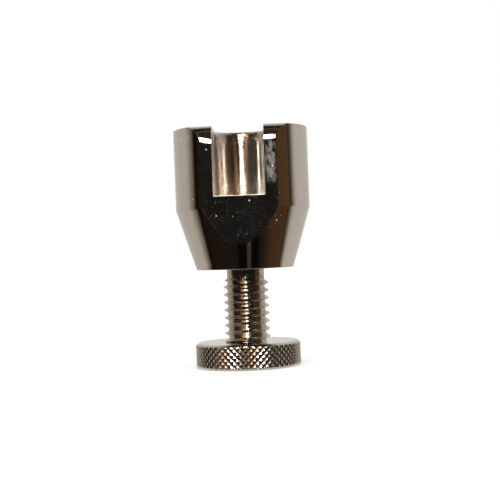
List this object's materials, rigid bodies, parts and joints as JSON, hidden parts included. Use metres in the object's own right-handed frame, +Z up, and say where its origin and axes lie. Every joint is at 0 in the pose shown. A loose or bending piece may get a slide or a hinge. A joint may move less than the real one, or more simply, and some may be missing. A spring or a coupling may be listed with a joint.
{
  "type": "slotted stud clamp",
  "caption": "Turned metal clamp with an open-fronted socket for a stud, closed from below by a knurled clamp screw with a swivelling pad.",
  "frame": {"origin": "centre of the wheel's underside, on the screw's axis, where the clamp stands", "axes": "+Z up along the screw towards the socket's mouth, the socket's open side faces -Y, +X to the right seen from the open side"},
  "size_m": [0.0278, 0.0255, 0.0491],
  "materials": {
    "plated_body": "mirror-bright warm nickel plate",
    "plated_screw": "bright nickel plate over a cut thread",
    "plated_wheel": "bright nickel plate, diamond-knurled rim",
    "pin_steel": "ground steel",
    "pad_brass": "turned brass",
    "spring_steel": "dark spring steel"
  },
  "bodies": {
    "body": {"clamp_body": "plated_body"},
    "pad": {"pressure_pad": "pad_brass"},
    "screw": {"clamp_screw": "plated_screw", "thumb_wheel": "plated_wheel", "wheel_pin": "pin_steel", "pad_ring": "spring_steel"}
  },
  "joints": [
    {"name": "screw_travel", "type": "slide", "parent": "body", "child": "pad", "axis": [0, 0, 1], "range_m": [0, 0.0148]},
    {"name": "screw_turn", "type": "hinge", "parent": "pad", "child": "screw", "pos_m": [0, 0, 0], "axis": [0, 0, 1], "range_deg": [0, 3356.4]}
  ],
  "couplings": [
    {"joint": "screw_turn", "follows": "screw_travel", "rad_per_m": 3957.9}
  ]
}
